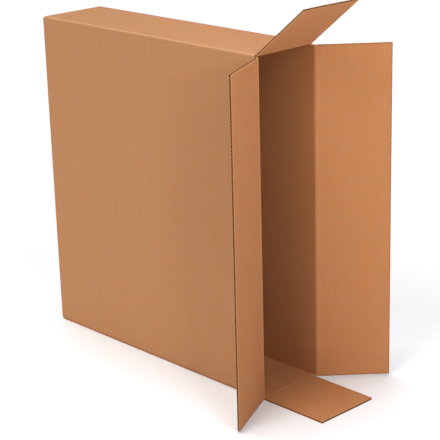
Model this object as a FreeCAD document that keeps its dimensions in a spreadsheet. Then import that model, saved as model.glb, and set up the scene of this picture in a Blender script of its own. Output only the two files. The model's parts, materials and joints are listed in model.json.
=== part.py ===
# Open cardboard box: a tall, narrow carton of single-wall corrugated board that loads from one side.
# It stands on its narrow bottom. The end towards -X is closed and glued, the end towards +X is
# open, and its four flaps stand out from the mouth.
# Units are millimetres and degrees, +Z is up, and the origin is the middle of the bottom's face.
import FreeCAD, Part
import os
import re
import Sketcher

SIZES = {
    # The box: its inside, between the boards
    "inside_height": 711.0,
    "inside_width": 152.4,
    "inside_depth": 648.0,
    # The board and how it is folded
    "board": 4.0,
    "fold_clearance": 0.5,
    "fold_radius": 3.6,
    "score_gap": 0.3,
    # The open flaps: their lengths from the crease to the cut edge
    "near_flap_length": 155.5,
    "far_flap_length": 152.0,
    "top_flap_length": 158.0,
    "bottom_flap_length": 164.0,
    # How far each open flap stands turned outwards from straight ahead
    "near_flap_angle": 64.0,
    "far_flap_angle": 48.0,
    "top_flap_angle": 39.0,
    "bottom_flap_angle": 0.0,
    # The closed end: the short flaps folded in, and how far the outer flap stops from the corner
    "glued_flap_length": 157.0,
    "outer_flap_shortfall": 5.0,
    # The strip inside the near wall that joins the two ends of the sheet
    "glue_tab_width": 35.0,
    "glue_tab_setback": 12.0,
    # The corrugation, which is open along the flaps' cut edges
    "flute_pitch": 7.8,
    "flute_depth": 8.0,
    "liner": 0.6,
    "medium": 0.5,
}
FORMULAS = {
    "outer_height": "inside_height + 2 * board",
    "outer_width": "inside_width + 2 * board",
    # The closed end is three boards thick: the short flaps, one side flap and the other over it
    "end_thickness": "3 * board",
    # A flap that closes over another has its crease one board and a clearance further out
    "fold_step": "board + fold_clearance",
    "short_crease": "end_thickness + inside_depth + board",
    "near_crease": "short_crease + fold_step",
    "far_crease": "near_crease + fold_step",
    "half_gap": "score_gap / 2",
    # Each flap is this much narrower than its panel at both sides, so that it folds between the walls
    "slot_inset": "board + fold_clearance",
    "tall_span": "outer_height - 2 * slot_inset",
    "short_span": "outer_width - 2 * slot_inset",
}
ALIASES = list(SIZES) + list(FORMULAS)

doc = FreeCAD.newDocument("OpenCardboardBox")
sheet = doc.addObject("Spreadsheet::Sheet", "sizes")


def fill_sheet():
    """Writes the driving sizes as plain numbers, and after them the sizes worked out from them."""
    for row, alias in enumerate(ALIASES, start=1):
        sheet.set("A%d" % row, alias)
        sheet.set("B%d" % row, str(SIZES[alias]) if alias in SIZES else "=" + FORMULAS[alias])
        sheet.setAlias("B%d" % row, alias)
    doc.recompute()


def sized(formula):
    """The formula as an object outside the sheet has to write it."""
    return re.sub("[a-z_]+", lambda word: "sizes." + word[0] if word[0] in ALIASES else word[0], formula)


def origin_part(body, role):
    """One of the planes or axes that the body brings with it."""
    return next(item for item in body.Origin.OriginFeatures if item.Role == role)


def outline(body, name, role, loops, offset="0"):
    """A sketch on one of the body's planes, with every corner of its closed loops tied to the sheet."""
    sketch = body.newObject("Sketcher::SketchObject", name)
    sketch.AttachmentSupport = [(origin_part(body, role), "")]
    sketch.MapMode = "FlatFace"
    sketch.setExpression("AttachmentOffset.Base.z", sized(offset))
    for corners in loops:
        first = sketch.GeometryCount
        count = len(corners)
        places = [FreeCAD.Vector(*(sketch.evalExpression(sized(f)) for f in corner)) for corner in corners]
        for i in range(count):
            sketch.addGeometry(Part.LineSegment(places[i], places[(i + 1) % count]), False)
        for i in range(count):
            line = first + i
            after = first + (i + 1) % count
            sketch.addConstraint(Sketcher.Constraint("Coincident", line, 2, after, 1))
            for kind, formula in zip(("DistanceX", "DistanceY"), corners[i]):
                tie = Sketcher.Constraint(kind, -1, 1, line, 1, sketch.evalExpression(sized(formula)))
                sketch.setExpression("Constraints[%d]" % sketch.addConstraint(tie), sized(formula))
    return sketch


def upright(x0, y0, x1, y1):
    """The corners of an upright rectangle."""
    return [(x0, y0), (x1, y0), (x1, y1), (x0, y1)]


def pad(body, name, sketch, length, flipped=False):
    """Board pushed out from a sketch."""
    feature = body.newObject("PartDesign::Pad", name)
    feature.Profile = sketch
    feature.setExpression("Length", sized(length))
    feature.Reversed = flipped
    doc.recompute()
    return feature


def pocket(body, name, sketch, length=None):
    """A hollow of a stated depth, or a cut right through the body both ways."""
    before = body.Shape.Volume
    feature = body.newObject("PartDesign::Pocket", name)
    feature.Profile = sketch
    if length:
        feature.setExpression("Length", sized(length))
    else:
        feature.Type = "ThroughAll"
        feature.Midplane = True
    doc.recompute()
    if body.Shape.Volume >= before:
        raise RuntimeError("%s cuts nothing" % name)
    return feature


def place(body, axis, angle, x, y, z):
    """Stands a body on its crease, turned outwards by its angle."""
    body.Placement = FreeCAD.Placement(FreeCAD.Vector(), FreeCAD.Rotation(axis, 1))
    body.setExpression("Placement.Rotation.Angle", sized(angle))
    for direction, formula in zip("xyz", (x, y, z)):
        body.setExpression("Placement.Base." + direction, sized(formula))


def carton():
    """The folded sheet: four walls and the closed end, cut back to the four creases at the mouth.

    It is drawn from its closed end, with the near wall at y = 0 and the bottom at z = 0.
    """
    body = doc.addObject("PartDesign::Body", "carton")
    block = outline(body, "end_outline", "YZ_Plane", [upright("0", "0", "outer_width", "outer_height")])
    outside = pad(body, "outside", block, "far_crease")

    # The long folds between the walls, and the fold of the outer flap at the closed end
    folds = body.newObject("PartDesign::Fillet", "folds")
    folds.Base = (outside, fold_edges(outside.Shape))
    folds.setExpression("Radius", sized("fold_radius"))
    doc.recompute()

    # The inside, which leaves the glued strip standing up the near wall from the bottom
    inside = [
        ("2 * board", "board"), ("outer_width - board", "board"),
        ("outer_width - board", "outer_height - board"), ("board", "outer_height - board"),
        ("board", "board + glue_tab_width"), ("2 * board", "board + glue_tab_width"),
    ]
    hollow = outline(body, "inside_outline", "YZ_Plane", [inside], "far_crease")
    pocket(body, "inside", hollow, "far_crease - end_thickness")
    clear = upright("board", "board", "3 * board", "2 * board + glue_tab_width")
    strip_end = outline(body, "strip_end_outline", "YZ_Plane", [clear], "far_crease")
    pocket(body, "strip_end", strip_end, "far_crease - short_crease + board + glue_tab_setback")

    # Between the two short flaps of the closed end, the side flap behind them shows
    between = upright("board", "glued_flap_length", "outer_width - board", "outer_height - glued_flap_length")
    bare = outline(body, "between_outline", "YZ_Plane", [between], "end_thickness")
    pocket(body, "between_short_flaps", bare, "board")

    # Outside, the closed end steps down from the outer side flap to the folds of the other panels
    near_step = upright("0", "0", "board", "outer_flap_shortfall")
    pocket(body, "near_step", outline(body, "near_step_outline", "XY_Plane", [near_step]))
    low_step = upright("0", "0", "2 * board", "slot_inset")
    high_step = upright("0", "outer_height - slot_inset", "2 * board", "outer_height")
    pocket(body, "short_steps", outline(body, "short_step_outline", "XZ_Plane", [low_step, high_step]))

    # At the mouth each wall ends at its crease, bevelled inwards where the board folds
    bottom_end = crease_cut("short_crease", "0", "slot_inset")
    top_end = crease_cut("short_crease", "outer_height", "outer_height - slot_inset")
    pocket(body, "short_creases", outline(body, "short_crease_outline", "XZ_Plane", [bottom_end, top_end]))
    near_end = crease_cut("near_crease", "0", "slot_inset")
    pocket(body, "near_crease", outline(body, "near_crease_outline", "XY_Plane", [near_end]))
    far_end = [
        ("far_crease - half_gap", "outer_width"), ("far_crease - half_gap - board", "outer_width - board"),
        ("far_crease", "outer_width - board"), ("far_crease", "outer_width"),
    ]
    pocket(body, "far_crease", outline(body, "far_crease_outline", "XY_Plane", [far_end]))

    body.setExpression("Placement.Base.x", sized("- short_crease / 2"))
    body.setExpression("Placement.Base.y", sized("- outer_width / 2"))
    return body


def fold_edges(shape):
    """The block's long edges and the upright edge at the far corner of its closed end."""
    long_way = shape.BoundBox.XLength
    names = []
    for number, edge in enumerate(shape.Edges, start=1):
        middle = edge.CenterOfMass
        runs_long = abs(edge.Length - long_way) < edge.Length / long_way
        far_corner = middle.y > shape.BoundBox.Center.y and middle.x < shape.BoundBox.Center.x
        upright_edge = edge.BoundBox.ZLength > edge.BoundBox.YLength
        if runs_long or (far_corner and upright_edge and middle.y == shape.BoundBox.YMax):
            names.append("Edge%d" % number)
    return names


def crease_cut(crease, skin, depth):
    """What is cut away past a crease: from the outer skin down a bevel to the slot's depth."""
    end = crease + " - half_gap"
    return [(end, skin), (end + " - slot_inset", depth), ("far_crease", depth), ("far_crease", skin)]


def flap(name, upright_crease, inner, length, span):
    """An open flap, drawn straight out from its crease on the outer skin, which lies along x = 0.

    inner is -1 or 1, the side of the drawing on which the flap's inner skin lies.
    """
    body = doc.addObject("PartDesign::Body", name)
    skin = "%d * board" % inner
    section = [("half_gap", "0"), (length, "0"), (length, skin), ("half_gap + board", skin)]
    sketch = outline(body, "section", "XY_Plane" if upright_crease else "XZ_Plane", [section])
    pad(body, "panel", sketch, span, flipped=not upright_crease)

    # The open flutes along the cut edge: a hollow on each side of the wavy medium, again and again
    count = "floor(%s / flute_pitch) - 1" % span
    low = "(%s - (%s) * flute_pitch - flute_pitch / 2) / 2" % (span, count)
    wall = "medium * flute_pitch / board"
    outer = [
        (inner_side(inner, "liner"), "%s + %s" % (low, wall)),
        (inner_side(inner, "liner"), "%s + flute_pitch - %s" % (low, wall)),
        (inner_side(inner, "board - liner - medium"), "%s + flute_pitch / 2" % low),
    ]
    other = [
        (inner_side(inner, "board - liner"), "%s + flute_pitch / 2 + %s" % (low, wall)),
        (inner_side(inner, "board - liner"), "%s + 3 / 2 * flute_pitch - %s" % (low, wall)),
        (inner_side(inner, "liner + medium"), "%s + flute_pitch" % low),
    ]
    loops = [outer, other]
    if not upright_crease:
        loops = [[(along, across) for across, along in loop] for loop in loops]
    flute = outline(body, "flute_outline", "YZ_Plane", loops, length)
    first = pocket(body, "flute", flute, "flute_depth")
    row = body.newObject("PartDesign::LinearPattern", "flutes")
    row.Originals = [first]
    row.Direction = (flute, ["V_Axis" if upright_crease else "H_Axis"])
    row.setExpression("Occurrences", sized(count))
    row.setExpression("Length", sized("(%s - 1) * flute_pitch" % count))
    body.Tip = row
    return body


def inner_side(inner, depth):
    """A depth below the outer skin, on the side of the drawing that is the flap's inside."""
    return "%d * (%s)" % (inner, depth)


def check(bodies):
    """Stops before anything is written if an object failed or a piece is not one sound solid."""
    for item in doc.Objects:
        if "Invalid" in item.State or "Error" in item.State:
            raise RuntimeError("%s failed: %s" % (item.Label, item.State))
    for body in bodies:
        shape = body.Shape
        if shape.isNull() or not shape.isValid() or len(shape.Solids) != 1:
            raise RuntimeError("%s is not one sound solid" % body.Label)


fill_sheet()
near = flap("near_side_flap", True, 1, "near_flap_length", "tall_span")
far = flap("far_side_flap", True, -1, "far_flap_length", "tall_span")
top = flap("top_flap", False, -1, "top_flap_length", "short_span")
bottom = flap("bottom_flap", False, 1, "bottom_flap_length", "short_span")
walls = carton()

UP = FreeCAD.Vector(0, 0, 1)
ACROSS = FreeCAD.Vector(0, 1, 0)
NEAR_SIDE = "- outer_width / 2"
place(near, -UP, "near_flap_angle", "near_crease - short_crease / 2", NEAR_SIDE, "slot_inset")
place(far, UP, "far_flap_angle", "far_crease - short_crease / 2", "outer_width / 2", "slot_inset")
place(top, -ACROSS, "top_flap_angle", "short_crease / 2", NEAR_SIDE + " + slot_inset", "outer_height")
place(bottom, ACROSS, "bottom_flap_angle", "short_crease / 2", NEAR_SIDE + " + slot_inset", "0")

doc.recompute()
pieces = [walls, near, far, top, bottom]
check(pieces)
os.makedirs("parts", exist_ok=True)
for piece in pieces:
    piece.Shape.exportStep("parts/%s.step" % piece.Label)
    print(piece.Label, piece.Shape.BoundBox, "volume %.0f" % piece.Shape.Volume)
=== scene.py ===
"""The looks of the open cardboard box: corrugated kraft board, its folds, its cut edges and their finish.

The box is one folded sheet, so each point of a mesh also has a place on the unfolded sheet. That place
has two numbers in metres: one along the flutes, from the closed end to the mouth, and one around the
tube. The paper's pattern, the flutes and the washboard all follow it, and so run on over the folds.
"""
import json
import math

import bmesh
import bpy
import numpy as np
from mathutils import Matrix, Vector


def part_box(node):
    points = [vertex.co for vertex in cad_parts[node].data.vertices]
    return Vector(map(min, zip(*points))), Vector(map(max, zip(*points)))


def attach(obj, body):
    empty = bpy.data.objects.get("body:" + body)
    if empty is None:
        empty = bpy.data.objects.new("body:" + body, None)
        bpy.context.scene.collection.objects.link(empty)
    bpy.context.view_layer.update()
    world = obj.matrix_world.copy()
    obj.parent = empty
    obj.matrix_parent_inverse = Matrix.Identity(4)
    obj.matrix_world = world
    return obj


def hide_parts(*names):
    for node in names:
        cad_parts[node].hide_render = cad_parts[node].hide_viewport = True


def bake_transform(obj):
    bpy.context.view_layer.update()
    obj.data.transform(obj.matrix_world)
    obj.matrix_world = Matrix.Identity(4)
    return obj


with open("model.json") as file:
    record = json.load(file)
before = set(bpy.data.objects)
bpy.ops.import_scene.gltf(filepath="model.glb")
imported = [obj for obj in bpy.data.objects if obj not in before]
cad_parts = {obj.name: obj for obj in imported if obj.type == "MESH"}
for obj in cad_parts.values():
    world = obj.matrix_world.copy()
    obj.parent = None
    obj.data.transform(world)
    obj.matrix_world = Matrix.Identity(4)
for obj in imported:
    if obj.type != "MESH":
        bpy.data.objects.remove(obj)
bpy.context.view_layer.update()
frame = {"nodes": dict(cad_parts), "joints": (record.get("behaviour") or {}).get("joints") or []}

MM = 0.001

# The photograph's viewpoint, found from the box's straight edges: metres, degrees, millimetres of lens
CAMERA_PLACE = Vector((2.24226, -1.99401, 1.28693))
CAMERA_YAW = 46.52
CAMERA_PITCH = -18.33
CAMERA_ROLL = -1.6
LENS = 118.5
SENSOR = 36.0

# The board: one paper on each face, and the wavy medium between them, which bites a little into both.
# The washboard is how far a face sinks between the wave's tips
LINER = 0.3 * MM
MEDIUM = 0.5 * MM
FLUTE_PITCH = 7.8 * MM
WASHBOARD = 0.08 * MM
MEDIUM_BITE = 0.03 * MM
CUT_RECESS = 0.04 * MM
# The wave's height before its tips are pressed flat, and how far it leans to the inner liner
WAVE_HEIGHT = 1.8
WAVE_LEAN = 0.75
FACE_STEPS = 6
WAVE_STEPS = 16

# The folds and creases. The slots between the flaps end a notch inside the creases, and the board's end
# steps there within half a step's width to each side
SCORE_GAP = 0.15 * MM
FOLD_RADIUS = 2.8 * MM
INNER_FOLD_RADIUS = 0.6 * MM
SLOT_NOTCH = 0.5 * MM
STEP_HALF = 0.15 * MM
SCORE_DEPTH = 0.16
SCORE_SPREAD = math.radians(12)
FOLD_ARC_STEPS = 8
ROLL_STEPS = 30
FADE_LENGTH = 14 * MM
ROLL_PITCH = 6 * MM

# Wear and painted light: 1 is a pale line, partly rubbed liner and partly a painted highlight, and -1 is a
# darker orange line of painted shade where a fold or edge turns away. The folds are named after the wall
# before them, and have a level and how far it reaches; the rims are a flap's free edge, its first and last
# side around the tube, and the edge at its crease
RIM_REACH = 2.5 * MM
FOLD_WEAR_HIGHLIGHT_SHADE = {
    "bottom": (0.5, 1.3 * MM),
    "far_side": (-1.0, 4 * MM),
    "top": (0.5, 1.2 * MM),
    "near_side": (-1.0, 2 * MM),
}
# Painted highlight along each open crease, part of it over the whole crease and the rest where the score is
# pressed
CREASE_HIGHLIGHT = {"bottom": 0.45, "far_side": 0.3, "top": 0.5, "near_side": 1.0}
CREASE_FACE_HIGHLIGHT = 0.4
# The rims' pale lines are painted highlight, and their darker orange is painted shade where an edge turns
# away
RIM_HIGHLIGHT_SHADE = {
    "bottom": (0.35, 0.35, -1.0, 0.15),
    "far_side": (-1.0, -1.0, -1.0, 0.35),
    "top": (-1.0, -1.0, 1.0, 0.4),
    "near_side": (1.0, 1.0, -1.0, 0.8),
}
# Painted shade down the middle of each fold at the closed end
CLOSED_END_SHADE = -0.7

# The closed end, where flaps fold one over another, and the strip that joins the sheet's ends. Each wall
# starts so many boards in from that end
WALL_STARTS = {"bottom": 3, "far_side": 1, "top": 3, "near_side": 2}
DEEPEST_START = max(WALL_STARTS.values())
OUTER_FLAP_SHORTFALL = 5 * MM
GLUED_CLEARANCE = 0.5 * MM
SHORT_GLUED_FLAP = 157 * MM
GLUE_TAB_WIDTH = 35 * MM
GLUE_TAB_SETBACK = 12 * MM

# How far the walls bow outwards and the flaps curl
NEAR_BOW = 1.0 * MM
FAR_BOW = 0.8 * MM
TOP_BOW = -0.5 * MM
CURL = 0.25 * MM

# Where along a wall or flap its mesh has points, as shares of its length: closer at both ends
END_SHARES = np.array([0, 0.006, 0.014, 0.025, 0.06, 0.14, 0.26, 0.38])
WALL_SHARES = np.concatenate([END_SHARES, [0.5], 1 - END_SHARES[::-1]])
EDGE_SHARES = np.array([0, 0.004, 0.008, 0.015, 0.025, 0.05, 0.1, 0.2, 0.35])
FLAP_SHARES = np.concatenate([EDGE_SHARES, [0.5], 1 - EDGE_SHARES[::-1]])

# A closed flap stands at a right angle to its wall, in degrees
CLOSED_ANGLE = 90

# The last finish is near-black painted shade, for the medium and the liners' hidden faces in the flute holes
OUTSIDE, INSIDE, CUT, SHADED_WAVE = range(4)
SHEET_MAP = "sheet"

# The solids' own sizes. The bottom flap lies flat on the floor, so its top is one board up
carton_low, carton_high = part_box("carton")
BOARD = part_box("bottom_flap")[1].z
WIDTH = carton_high.y - carton_low.y
HEIGHT = carton_high.z
CLOSED_END = carton_low.x
AWAY = np.array((1.0, 0.0, 0.0))


def make_camera():
    """The photograph's view: ahead of the mouth, on its near side and above it."""
    data = bpy.data.cameras.new("camera")
    data.sensor_width = SENSOR
    data.lens = LENS
    camera = bpy.data.objects.new("camera", data)
    heading = Matrix.Rotation(math.radians(CAMERA_YAW), 4, "Z")
    tip = Matrix.Rotation(math.radians(90 + CAMERA_PITCH), 4, "X")
    roll = Matrix.Rotation(math.radians(CAMERA_ROLL), 4, "Z")
    camera.matrix_world = Matrix.Translation(CAMERA_PLACE) @ heading @ tip @ roll
    bpy.context.scene.collection.objects.link(camera)
    bpy.context.scene.camera = camera


class Side:
    """One wall of the tube: its first corner, the ways around and inwards, and where it is on the sheet."""

    def __init__(self, name, corner, around, inwards, length, start, bow):
        self.name = name
        self.corner = np.array(corner)
        self.around = np.array(around)
        self.inwards = np.array(inwards)
        self.length = length
        self.start = start
        self.bow = bow
        self.joint = next(joint for joint in frame["joints"] if joint["child"] == name + "_flap")
        self.crease = self.joint["pos_m"][0]


def make_sides():
    """The four walls in the order in which the sheet goes round: bottom, far side, top, near side."""
    half = WIDTH / 2
    return [
        Side("bottom", (0, -half, 0), (0, 1, 0), (0, 0, 1), WIDTH, 0, 0),
        Side("far_side", (0, half, 0), (0, 0, 1), (0, -1, 0), HEIGHT, WIDTH, FAR_BOW),
        Side("top", (0, half, HEIGHT), (0, -1, 0), (0, 0, -1), WIDTH, WIDTH + HEIGHT, TOP_BOW),
        Side("near_side", (0, -half, HEIGHT), (0, 0, -1), (0, 1, 0), HEIGHT, 2 * WIDTH + HEIGHT, NEAR_BOW),
    ]


class Crease:
    """A fold line on the sheet's outer skin, with the way its flap leaves it and the flap's inner side.

    Its points are given as so far out from the line, so deep below the outer skin and so far around.
    Depth 0 is the wall's outer skin, or a level below it. The sense is 1 where the flap lies further along
    the sheet's flutes than the line, and -1 where it lies before it.
    """

    def __init__(self, side, line_x, away, inner, sense, level=0.0):
        self.side = side
        self.origin = side.corner + AWAY * line_x + side.inwards * level
        self.away = away
        self.inner = inner
        self.line_x = line_x
        self.sense = sense

    def at(self, out, deep, around):
        """The points themselves, in the row frame."""
        out, deep, around = (np.expand_dims(part, -1) for part in np.broadcast_arrays(out, deep, around))
        return self.origin + out * self.away + deep * self.inner + around * self.side.around

    def place(self, out, around):
        """Their places on the unfolded sheet."""
        out, around = np.broadcast_arrays(out, around)
        return np.stack([self.line_x + self.sense * out, self.side.start + around], axis=-1)


class Piece:
    """A piece's mesh while it is gathered: points, their places on the sheet, their wear and painted
    highlight and shade, and faces.
    """

    def __init__(self):
        self.points = []
        self.places = []
        self.wear = []
        self.faces = []
        self.finishes = []
        self.count = 0

    def patch(self, grid, finish):
        """Faces between neighbouring points of a grid of point numbers."""
        corners = [grid[:-1, :-1], grid[1:, :-1], grid[1:, 1:], grid[:-1, 1:]]
        faces = np.stack([corner.ravel() for corner in corners], axis=1)
        self.faces.append(faces)
        self.finishes.append(np.full(len(faces), finish))

    def slab(self, under, over, places, finishes, wear=0.0, ring=False):
        """A closed sheet between two equal grids of points. The finishes are for under, over and rim."""
        rows, columns = under.shape[:2]
        low = np.arange(self.count, self.count + rows * columns).reshape(rows, columns)
        high = low + rows * columns
        for grid in (under, over):
            self.points.append(grid.reshape(-1, 3))
            self.places.append(places.reshape(-1, 2))
            self.wear.append(np.broadcast_to(wear, (rows, columns)).ravel())
        self.count += 2 * rows * columns
        self.patch(low, finishes[0])
        self.patch(high, finishes[1])
        rims = [(low[:, 0], high[:, 0]), (low[:, -1], high[:, -1])]
        if not ring:
            rims += [(low[0], high[0]), (low[-1], high[-1])]
        for first, second in rims:
            self.patch(np.stack([first, second]), finishes[2])

    def make(self, name, finishes):
        """The Blender object, its faces turned outwards and its sharp edges marked."""
        faces = np.concatenate(self.faces)
        kinds = np.concatenate(self.finishes)
        used = sorted(set(kinds.tolist()))
        mesh = bpy.data.meshes.new(name)
        mesh.from_pydata(np.concatenate(self.points).tolist(), [], faces.tolist())
        for kind in used:
            mesh.materials.append(finishes[kind])
        mesh.polygons.foreach_set("material_index", np.searchsorted(used, kinds).astype(np.int32))
        places = np.concatenate(self.places)
        sheet = mesh.uv_layers.new(name=SHEET_MAP)
        sheet.data.foreach_set("uv", places[faces.ravel()].ravel().astype(np.float32))
        wear = mesh.attributes.new("wear", "FLOAT", "POINT")
        wear.data.foreach_set("value", np.concatenate(self.wear).astype(np.float32))
        tidy_faces(mesh)
        made = bpy.data.objects.new(name, mesh)
        bpy.context.scene.collection.objects.link(made)
        return made


WELD = 0.0005 * MM
SHARP_ANGLE = math.radians(33)


def tidy_faces(mesh):
    """Welds points that lie on one another, turns the faces outwards and marks the sharp edges."""
    work = bmesh.new()
    work.from_mesh(mesh)
    bmesh.ops.remove_doubles(work, verts=work.verts, dist=WELD)
    bmesh.ops.recalc_face_normals(work, faces=work.faces)
    for face in work.faces:
        face.smooth = True
    for edge in work.edges:
        edge.smooth = edge.calc_face_angle(0) < SHARP_ANGLE
    work.to_mesh(mesh)
    work.free()


def steps(first, last, pitch):
    """Even steps from first to last, none longer than the pitch."""
    return np.linspace(first, last, math.ceil((last - first) / pitch) + 1)


def smooth(share):
    """A smooth rise from 0 to 1."""
    share = np.clip(share, 0, 1)
    return share * share * (3 - 2 * share)


def wave(around):
    """The medium's wave at a place around the sheet: -1 where it meets the outer liner, 1 the inner."""
    return np.clip(WAVE_HEIGHT * np.cos(2 * math.pi * around / FLUTE_PITCH) + WAVE_LEAN, -1, 1)


def skins(around, fade):
    """How deep the outer and the inner skin lie: each liner sinks in a little between the flute tips."""
    outer = WASHBOARD * fade * (1 + wave(around)) / 2
    inner = BOARD - WASHBOARD * fade * (1 - wave(around)) / 2
    return outer, inner


def rim_highlight_shade(rims, start, length, span, out, around):
    """Painted highlight and painted shade along a flap's edges, which fades within a few millimetres of each.
    """
    gaps = (length - out, around - span[0], span[1] - around, out - start)
    return sum(rim * np.exp(-(gap / RIM_REACH) ** 2) for rim, gap in zip(rims, gaps))


def panel(piece, crease, start, bevel, length, span, rims=(0, 0, 0, 0)):
    """A flat flap of board: two liners with the wavy medium between them, set back at the cut edges.

    It starts so far out from its crease, and further by the bevel for each depth.
    """
    def grid(around, shares, depth, inset=0.0):
        """A layer's distances out, for a row of places around and a depth below the outer skin."""
        first = start + bevel * depth + inset
        return first + (length - inset - first) * shares + 0 * around

    def curl(out, around):
        """The flap's slight curl, the same through all its layers."""
        return CURL * (out / length) ** 2 * np.sin(around * 2 * math.pi / span[1] + crease.line_x)

    around = steps(span[0], span[1], FLUTE_PITCH / FACE_STEPS)[:, None]
    flat = grid(around, FLAP_SHARES, 0)
    outer, inner = skins(crease.side.start + around, smooth((flat - start) / FADE_LENGTH))
    wear = np.clip(rim_highlight_shade(rims, start, length, span, flat, around), -1, 1)
    for depth, skin, lift, finish in ((0, outer, LINER, OUTSIDE), (BOARD, inner, -LINER, INSIDE)):
        out = grid(around, FLAP_SHARES, depth)
        back = grid(around, FLAP_SHARES, depth + lift)
        face = crease.at(out, skin + curl(out, around), around)
        hidden = crease.at(back, skin + lift + curl(back, around), around)
        piece.slab(face, hidden, crease.place(out, around), (finish, SHADED_WAVE, CUT), wear)

    around = steps(span[0] + CUT_RECESS, span[1] - CUT_RECESS, FLUTE_PITCH / WAVE_STEPS)[:, None]
    reach = BOARD / 2 - LINER - MEDIUM / 2 + MEDIUM_BITE
    middle = BOARD / 2 + reach * wave(crease.side.start + around)
    # Measured straight through the board, the medium is thicker where it slopes
    slope = np.gradient(middle[:, 0], around[:, 0])[:, None]
    half = MEDIUM / 2 * np.sqrt(1 + slope ** 2)
    top_of_outer, foot_of_inner = LINER - MEDIUM_BITE, BOARD - LINER + MEDIUM_BITE
    depths = (np.maximum(middle - half, top_of_outer), np.minimum(middle + half, foot_of_inner))
    layers = []
    for depth in depths:
        out = grid(around, FLAP_SHARES[::2], depth, CUT_RECESS)
        layers.append(crease.at(out, depth + curl(out, around), around))
    piece.slab(*layers, crease.place(out, around), (SHADED_WAVE, SHADED_WAVE, CUT))


def open_flap(side, finishes):
    """An open flap and the rolled board of its crease. Its joint's upper limit closes it."""
    turn = math.radians(side.joint["range_deg"][1] - CLOSED_ANGLE)
    back = np.array(Matrix.Rotation(-turn, 3, Vector(side.joint["axis"])))
    crease = Crease(side, side.crease, back @ AWAY, back @ side.inwards, 1)
    name = side.name + "_flap"
    corners = np.array([v.co for v in frame["nodes"][name].data.vertices]) - crease.origin
    length = float((corners @ crease.away).max())
    places = corners @ side.around
    span = (float(places.min()), float(places.max()))

    piece = Piece()
    panel(piece, crease, SCORE_GAP, 1, length, span, RIM_HIGHLIGHT_SHADE[side.name])
    flap = piece.make(name + "_board", finishes)
    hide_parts(name)
    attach(flap, name)

    # The crease's board fans out from the outer skin's fold line, and its score is pressed in
    first = math.atan2(BOARD, BOARD + SCORE_GAP)
    angles = np.linspace(first, math.pi + turn - first, ROLL_STEPS)[None, :]
    near_face = np.minimum(angles, math.pi + turn - angles)
    score = SCORE_DEPTH * np.exp(-((angles - (math.pi + turn) / 2) / SCORE_SPREAD) ** 2)
    reach = BOARD / np.sin(np.minimum(near_face, math.pi / 2)) * (1 - score)
    around = steps(span[0], span[1], ROLL_PITCH)[:, None]
    wall = Crease(side, side.crease, AWAY, side.inwards, 1)
    crest = wall.at(-reach * np.cos(angles), reach * np.sin(angles), around)
    heart = wall.at(-SCORE_GAP * np.cos(angles), SCORE_GAP * np.sin(angles), around)
    piece = Piece()
    places = wall.place((angles - (math.pi + turn) / 2) * BOARD, around)
    pressed = score / SCORE_DEPTH
    # Painted highlight on the crease, strongest where the score is pressed in
    wear = CREASE_HIGHLIGHT[side.name] * (CREASE_FACE_HIGHLIGHT + (1 - CREASE_FACE_HIGHLIGHT) * pressed)
    piece.slab(crest, heart, places, (INSIDE, OUTSIDE, OUTSIDE), wear)
    roll = piece.make(name + "_crease", finishes)
    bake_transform(roll)


def glued_flap(side, length, finishes):
    """A flap of the closed end, folded in flat, and the fold between it and its wall."""
    outer_skin = CLOSED_END + (WALL_STARTS[side.name] - 1) * BOARD
    crease = Crease(side, outer_skin, side.inwards, AWAY, -1)
    inset = BOARD + GLUED_CLEARANCE
    span = (inset, side.length - inset)
    piece = Piece()
    panel(piece, crease, BOARD, 0, length, span)
    flap = piece.make("glued_%s_flap" % side.name, finishes)
    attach(flap, "carton")

    angles = np.linspace(0, math.pi / 2, FOLD_ARC_STEPS + 1)[None, :]
    around = steps(span[0], span[1], ROLL_PITCH)[:, None]
    outer = crease.at(BOARD - BOARD * np.cos(angles), BOARD - BOARD * np.sin(angles), around)
    heart = crease.at(BOARD - SCORE_GAP * np.cos(angles), BOARD - SCORE_GAP * np.sin(angles), around)
    piece = Piece()
    # Painted shade, darkest halfway round the fold
    wear = CLOSED_END_SHADE * np.sin(2 * angles)
    piece.slab(outer, heart, crease.place(BOARD * (angles - 1), around), (OUTSIDE, INSIDE, CUT), wear)
    roll = piece.make("glued_%s_fold" % side.name, finishes)
    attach(roll, "carton")


def glue_strip(near, short_crease, finishes):
    """The strip of board inside the near wall that joins the sheet's two ends."""
    first = CLOSED_END + DEEPEST_START * BOARD
    crease = Crease(near, first, AWAY, near.inwards, 1, BOARD)
    piece = Piece()
    length = short_crease - BOARD - GLUE_TAB_SETBACK - first
    low = near.length - BOARD
    panel(piece, crease, 0, 0, length, (low - GLUE_TAB_WIDTH, low))
    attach(piece.make("glue_strip", finishes), "carton")


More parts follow.
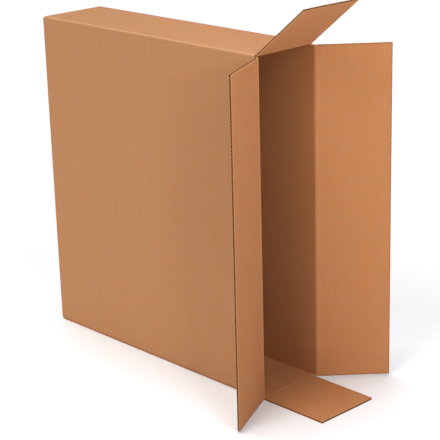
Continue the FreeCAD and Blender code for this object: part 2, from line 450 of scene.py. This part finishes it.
def tube_walls(sides, finishes):
    """The four walls as one folded board, from the closed end's folds to the creases at the mouth."""
    short_crease = sides[0].crease
    corner_ends = (CLOSED_END + DEEPEST_START * BOARD, short_crease - SLOT_NOTCH)
    inset = BOARD + GLUED_CLEARANCE
    rows = []
    for number, side in enumerate(sides):
        run = side.length - 2 * FOLD_RADIUS
        inner_run = side.length - 2 * (BOARD + INNER_FOLD_RADIUS)
        own_ends = (CLOSED_END + WALL_STARTS[side.name] * BOARD, side.crease - SCORE_GAP)
        low_step = [inset - STEP_HALF, inset + STEP_HALF]
        high_step = [side.length - place for place in reversed(low_step)]
        along = steps(low_step[1], high_step[0], FLUTE_PITCH / FACE_STEPS).tolist()
        for place in [FOLD_RADIUS, low_step[0]] + along + [high_step[1]]:
            share = (place - FOLD_RADIUS) / run
            inner_place = BOARD + INNER_FOLD_RADIUS + inner_run * share
            ends = own_ends if low_step[1] <= place <= high_step[0] else corner_ends
            from_fold = min(place, side.length - place) - FOLD_RADIUS
            fold = sides[number - 1] if place < side.length / 2 else side
            # A fold's pale line is rubbed liner with a painted highlight; its darker orange is painted shade
            # where it turns away
            worn_and_lit, reach = FOLD_WEAR_HIGHLIGHT_SHADE[fold.name]
            wear = worn_and_lit * math.exp(-from_fold / reach)
            outer = side.corner + side.around * place
            inner = side.corner + side.around * inner_place + side.inwards * BOARD
            bow = -side.inwards * side.bow * math.sin(math.pi * place / side.length)
            sag = side.inwards * smooth(from_fold / FADE_LENGTH)
            rows.append((outer, inner, side.start + place, ends, bow, wear, sag))
        corner = side.corner + side.around * side.length
        still = np.zeros(3)
        for step in range(FOLD_ARC_STEPS):
            angle = math.pi / 2 * step / FOLD_ARC_STEPS
            arm = side.around * math.sin(angle) - side.inwards * math.cos(angle)
            inwards = side.inwards - side.around
            outer = corner + inwards * FOLD_RADIUS + arm * FOLD_RADIUS
            inner = corner + inwards * (BOARD + INNER_FOLD_RADIUS) + arm * INNER_FOLD_RADIUS
            place = side.length + FOLD_RADIUS * (2 * step / FOLD_ARC_STEPS - 1)
            worn_and_lit, _ = FOLD_WEAR_HIGHLIGHT_SHADE[side.name]
            rows.append((outer, inner, side.start + place, corner_ends, still, worn_and_lit, still))
    perimeter = 2 * (WIDTH + HEIGHT)
    rows.append((rows[0][0], rows[0][1], perimeter + rows[0][2]) + rows[0][3:])

    outer, inner, around, ends, bow, wear, sag = (np.array(column) for column in zip(*rows))
    around, wear = around[:, None], wear[:, None]
    outer_x = ends[:, :1] + (ends[:, 1:] - ends[:, :1]) * WALL_SHARES
    inner_x = ends[:, :1] + (ends[:, 1:] - BOARD - ends[:, :1]) * WALL_SHARES
    swell = np.sin(math.pi * WALL_SHARES)[None, :, None] * bow[:, None, :]
    fade = smooth(np.minimum(outer_x - ends[:, :1], ends[:, 1:] - outer_x) / FADE_LENGTH)
    outer_depth, inner_depth = skins(around, fade)
    outer_sag = outer_depth[..., None] * sag[:, None, :]
    inner_sag = (inner_depth - BOARD)[..., None] * sag[:, None, :]
    over = outer[:, None, :] + outer_x[..., None] * AWAY + swell + outer_sag
    under = inner[:, None, :] + inner_x[..., None] * AWAY + swell + inner_sag
    places = np.stack(np.broadcast_arrays(outer_x, around), axis=-1)

    piece = Piece()
    piece.slab(under, over, places, (INSIDE, OUTSIDE, CUT), wear, ring=True)
    walls = piece.make("carton_walls", finishes)
    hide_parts("carton")
    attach(walls, "carton")


class Number:
    """A shader socket that can be written in a sum, which adds the Math nodes for it."""

    def __init__(self, finish, socket):
        self.finish = finish
        self.socket = socket

    def combine(self, operation, first, second):
        return self.finish.node("ShaderNodeMath", {"operation": operation}, {0: first, 1: second})

    def __add__(self, other):
        return self.combine("ADD", self, other)

    def __radd__(self, other):
        return self.combine("ADD", other, self)

    def __sub__(self, other):
        return self.combine("SUBTRACT", self, other)

    def __rsub__(self, other):
        return self.combine("SUBTRACT", other, self)

    def __mul__(self, other):
        return self.combine("MULTIPLY", self, other)

    def __rmul__(self, other):
        return self.combine("MULTIPLY", other, self)


class Finish:
    """A material while it is made: one way to add any node, and the patterns that the papers share."""

    def __init__(self, name):
        self.material = bpy.data.materials.new(name)
        self.material.use_nodes = True
        self.tree = self.material.node_tree
        self.shader = self.tree.nodes["Principled BSDF"]

    def node(self, kind, settings, values, output=0):
        """A node of any type: its settings first, then the values or links of its sockets."""
        made = self.tree.nodes.new(kind)
        for name, setting in settings.items():
            setattr(made, name, setting)
        for socket, value in values.items():
            self.feed(made.inputs[socket], value)
        return Number(self, made.outputs[output])

    def feed(self, socket, value):
        """Gives a socket its value, or links it to another node's socket."""
        if isinstance(value, Number):
            self.tree.links.new(value.socket, socket)
        else:
            socket.default_value = value

    def surface(self, **values):
        """Sets the shader's own sockets, with underscores for the spaces in their names."""
        for name, value in values.items():
            self.feed(self.shader.inputs[name.replace("_", " ")], value)

    def sheet(self):
        """Places on the unfolded sheet."""
        return self.node("ShaderNodeUVMap", {"uv_map": SHEET_MAP}, {})

    def pattern(self, place, around, scale, detail, roughness):
        """Cloudy noise, about 0 to 1 with 0.5 in its middle. A small around draws it out around the tube."""
        drawn = self.node("ShaderNodeVectorMath", {"operation": "MULTIPLY"}, {0: place, 1: (1, around, 1)})
        values = {"Vector": drawn, "Scale": scale, "Detail": detail, "Roughness": roughness}
        return self.node("ShaderNodeTexNoise", {"noise_dimensions": "3D"}, values)

    def spread(self, value, low, high):
        """A smooth rise from 0 to 1 as the value goes from low to high."""
        values = {"Value": value, "From Min": low, "From Max": high}
        return self.node("ShaderNodeMapRange", {"interpolation_type": "SMOOTHSTEP"}, values)

    def mix(self, share, first, second):
        """A colour between two others."""
        values = {0: share, 6: first, 7: second}
        return self.node("ShaderNodeMix", {"data_type": "RGBA"}, values, output=2)

    def shade(self, colour, tone):
        """A colour made lighter or darker."""
        return self.node("ShaderNodeVectorMath", {"operation": "SCALE"}, {0: colour, "Scale": tone})

    def bump(self, height, strength, distance):
        """A fine relief on the surface."""
        values = {"Strength": strength, "Distance": distance, "Height": height}
        return self.node("ShaderNodeBump", {}, values)


# The liners' patterns: each one's scale around the tube as a share of its scale along the flutes, then
# that scale, its detail and its roughness
PATTERNS = {
    "clouds": (1, 26, 4, 0.6),
    "blots": (1, 110, 3, 0.55),
    "flecks": (0.6, 240, 3, 0.6),
    "streaks": (0.05, 200, 2, 0.6),
    "fibres": (0.14, 1500, 3, 0.65),
    "grain": (1, 2600, 2, 0.6),
    "specks": (0.45, 700, 1, 0.4),
}
# Each pattern's share in the paper's hue, in its tone and in its relief
HUE_SHARES = {"clouds": 0.25, "blots": 0.35, "flecks": 0.4}
TONE_SHARES = {"clouds": 0.1, "blots": 0.25, "flecks": 0.45, "streaks": 0.13, "fibres": 0.08, "grain": 0.04}
RELIEF_SHARES = {"blots": 0.3, "fibres": 1, "grain": 0.5}
DARKEST_TONE = 0.475
HUE_SPREAD = (0.34, 0.66)
SPECK_SPREAD = (0.70, 0.76)
SPECK_STRENGTH = 0.35
SPECK = (0.16, 0.075, 0.035, 1)
# The darker orange of painted shade, where a fold or an edge turns away
PAINTED_EDGE_SHADE = (0.36, 0.108, 0.022, 1)
FULL_WEAR_HIGHLIGHT_SHADE = 1.2
WORN_HIGHLIGHT_COVER = 0.6
WORN_HIGHLIGHT_BLOTS = 0.5
LINER_ROUGHNESS = 0.8
FIBRE_ROUGHNESS = 0.12
LINER_SPECULAR = 0.3
LINER_RELIEF = (0.35, 0.12 * MM)


def kraft_liner(name, paper, deep_paper, worn_and_lit, washboard_shade, seed):
    """Uncoated kraft paper: cloudy and flecked, fibres across the flutes, specks, painted light and shade
    stripes for the washboard, and wear with painted highlights and painted shade.
    """
    finish = Finish(name)
    sheet = finish.sheet()
    place = finish.node("ShaderNodeVectorMath", {"operation": "ADD"}, {0: sheet, 1: (seed, seed, seed)})
    patterns = {kind: finish.pattern(place, *values) for kind, values in PATTERNS.items()}

    def blend(shares, start=0.0):
        """A sum of the patterns by their shares."""
        return sum((share * patterns[kind] for kind, share in shares.items()), start)

    parts = finish.node("ShaderNodeSeparateXYZ", {}, {0: sheet}, output=1)
    # Stripes of painted light and shade across the washboard, lighter and darker with the wave
    stripes = finish.node("ShaderNodeMath", {"operation": "COSINE"}, {0: parts * (2 * math.pi / FLUTE_PITCH)})
    colour = finish.mix(finish.spread(blend(HUE_SHARES), *HUE_SPREAD), paper, deep_paper)
    colour = finish.shade(colour, blend(TONE_SHARES, DARKEST_TONE) + washboard_shade * stripes)
    specks = finish.spread(patterns["specks"], *SPECK_SPREAD)
    colour = finish.mix(SPECK_STRENGTH * specks, colour, SPECK)
    # The wear attribute: rubbed wear with painted highlights above 0, and painted shade below 0
    wear = finish.node("ShaderNodeAttribute", {"attribute_name": "wear"}, {}, output=2)
    rubbed_and_highlit = finish.spread(wear, 0, FULL_WEAR_HIGHLIGHT_SHADE) * (WORN_HIGHLIGHT_COVER + WORN_HIGHLIGHT_BLOTS * patterns["blots"])
    colour = finish.mix(rubbed_and_highlit, colour, worn_and_lit)
    colour = finish.mix(finish.spread(0 - wear, 0, FULL_WEAR_HIGHLIGHT_SHADE), colour, PAINTED_EDGE_SHADE)
    rough = LINER_ROUGHNESS + FIBRE_ROUGHNESS * patterns["fibres"]
    relief = finish.bump(blend(RELIEF_SHARES), *LINER_RELIEF)
    finish.surface(Base_Color=colour, Roughness=rough, Normal=relief, Specular_IOR_Level=LINER_SPECULAR)
    return finish.material


def bare_paper(name, pattern, colours, relief, roughness):
    """Paper without a smooth face, mottled between two colours: a die-cut edge, or the fluted medium, whose
    near-black colours are painted shade in the flute holes.
    """
    finish = Finish(name)
    pulp = finish.pattern(finish.sheet(), *pattern)
    colour = finish.mix(pulp, *colours)
    bumps = finish.bump(pulp, *relief)
    finish.surface(Base_Color=colour, Roughness=roughness, Normal=bumps, Specular_IOR_Level=BARE_SPECULAR)
    return finish.material


OUTER_PAPER = (0.462, 0.232, 0.109, 1)
OUTER_DEEP = (0.446, 0.184, 0.066, 1)
# The pale colours are rubbed liner with a painted highlight
OUTER_WORN_HIGHLIGHT = (0.64, 0.36, 0.19, 1)
# The washboard numbers paint light and shade stripes along the flutes' ripples
OUTER_WASHBOARD_SHADE = 0.008
INNER_PAPER = (0.462, 0.205, 0.085, 1)
INNER_DEEP = (0.444, 0.162, 0.050, 1)
INNER_WORN_HIGHLIGHT = (0.64, 0.30, 0.12, 1)
INNER_WASHBOARD_SHADE = 0.022
LINER_SEEDS = (3.0, 7.0)
CUT_PATTERN = (1, 1900, 3, 0.6)
CUT_COLOURS = ((0.52, 0.23, 0.08, 1), (0.74, 0.36, 0.14, 1))
CUT_RELIEF = (0.4, 0.1 * MM)
CUT_ROUGHNESS = 0.9
MEDIUM_PATTERN = (0.3, 900, 4, 0.65)
# The medium's near-black colours are painted shade for the dark flute holes
MEDIUM_SHADE_COLOURS = ((0.02, 0.007, 0.003, 1), (0.045, 0.016, 0.007, 1))
MEDIUM_RELIEF = (0.5, 0.15 * MM)
MEDIUM_ROUGHNESS = 0.92
BARE_SPECULAR = 0.2


def make_finishes():
    """The papers, their cut edges and the medium's painted shade, in the order of their numbers."""
    outer_seed, inner_seed = LINER_SEEDS
    return [
        kraft_liner("outer_liner", OUTER_PAPER, OUTER_DEEP, OUTER_WORN_HIGHLIGHT, OUTER_WASHBOARD_SHADE, outer_seed),
        kraft_liner("inner_liner", INNER_PAPER, INNER_DEEP, INNER_WORN_HIGHLIGHT, INNER_WASHBOARD_SHADE, inner_seed),
        bare_paper("cut_edge", CUT_PATTERN, CUT_COLOURS, CUT_RELIEF, CUT_ROUGHNESS),
        bare_paper("fluted_medium", MEDIUM_PATTERN, MEDIUM_SHADE_COLOURS, MEDIUM_RELIEF, MEDIUM_ROUGHNESS),
    ]


FLOOR_HALF = 40.0
FLOOR_COLOUR = (0.855, 0.84, 0.815, 1)
FLOOR_ROUGHNESS = 0.9
FLOOR_SPECULAR = 0.1
SKY = 0.12
SKY_COLOUR = (0.97, 1, 1.06, 1)
# Each lamp: degrees round from ahead of the mouth towards the near side, degrees up, how wide it
# looks in degrees, its strength as what a white surface facing it would show, and its colour
LAMPS = {
    "right_softbox": (23, 13, 7, 0.24, (1, 1, 0.99)),
    "left_softbox": (88, 45, 32, 0.46, (1, 1, 1.02)),
    "overhead_softbox": (180, 80, 40, 0.73, (0.99, 1.03, 1.10)),
}
# One more softbox stands close by, so its light falls off down the box: its place, its width, what it
# is aimed at, and its strength there
CLOSE_SOFTBOX_PLACE = Vector((1.35, -0.3, 1.55))
CLOSE_SOFTBOX_WIDTH = 0.6
CLOSE_SOFTBOX_AIM = Vector((0.4, 0.0, 0.6))
CLOSE_SOFTBOX_STRENGTH = 0.54
CLOSE_SOFTBOX_COLOUR = (0.97, 1.0, 1.06)


def make_floor():
    """A plain pale floor."""
    mesh = bpy.data.meshes.new("floor")
    half = FLOOR_HALF
    corners = [(-half, -half, 0), (half, -half, 0), (half, half, 0), (-half, half, 0)]
    mesh.from_pydata(corners, [], [(0, 1, 2, 3)])
    finish = Finish("pale_floor")
    finish.surface(Base_Color=FLOOR_COLOUR, Roughness=FLOOR_ROUGHNESS, Specular_IOR_Level=FLOOR_SPECULAR)
    mesh.materials.append(finish.material)
    floor = bpy.data.objects.new("floor", mesh)
    bpy.context.scene.collection.objects.link(floor)


def hang_lamp(name, data, place, way):
    """Puts a lamp at its place, shining against the way that is given."""
    lamp = bpy.data.objects.new(name, data)
    lamp.matrix_world = Matrix.Translation(place) @ way.to_track_quat("Z", "Y").to_matrix().to_4x4()
    bpy.context.scene.collection.objects.link(lamp)


def make_light():
    """Soft studio light: three lamps far off, a close softbox and a dim pale surround, with plain colours."""
    world = bpy.data.worlds.new("studio")
    world.use_nodes = True
    world.node_tree.nodes["Background"].inputs["Color"].default_value = SKY_COLOUR
    world.node_tree.nodes["Background"].inputs["Strength"].default_value = SKY
    bpy.context.scene.world = world
    for name, (round_angle, up_angle, width, strength, colour) in LAMPS.items():
        data = bpy.data.lights.new(name, "SUN")
        data.angle = math.radians(width)
        data.energy = strength * math.pi
        data.color = colour
        level = math.cos(math.radians(up_angle))
        ahead = level * math.cos(math.radians(round_angle))
        aside = -level * math.sin(math.radians(round_angle))
        way = Vector((ahead, aside, math.sin(math.radians(up_angle))))
        hang_lamp(name, data, way, way)
    data = bpy.data.lights.new("close_softbox", "AREA")
    data.size = CLOSE_SOFTBOX_WIDTH
    way = CLOSE_SOFTBOX_PLACE - CLOSE_SOFTBOX_AIM
    # Its power gives that strength to a white surface that faces it from the aim
    data.energy = CLOSE_SOFTBOX_STRENGTH * math.pi ** 2 * way.length_squared
    data.color = CLOSE_SOFTBOX_COLOUR
    hang_lamp("close_softbox", data, CLOSE_SOFTBOX_PLACE, way)
    bpy.context.scene.view_settings.view_transform = "Standard"


make_camera()
make_floor()
make_light()
papers = make_finishes()
sides = make_sides()
tube_walls(sides, papers)
for wall in sides:
    open_flap(wall, papers)
bottom, far_side, top, near_side = sides
glued_flap(far_side, WIDTH - OUTER_FLAP_SHORTFALL, papers)
glued_flap(near_side, WIDTH - BOARD - GLUED_CLEARANCE, papers)
glued_flap(top, SHORT_GLUED_FLAP, papers)
glued_flap(bottom, SHORT_GLUED_FLAP, papers)
glue_strip(near_side, bottom.crease, papers)
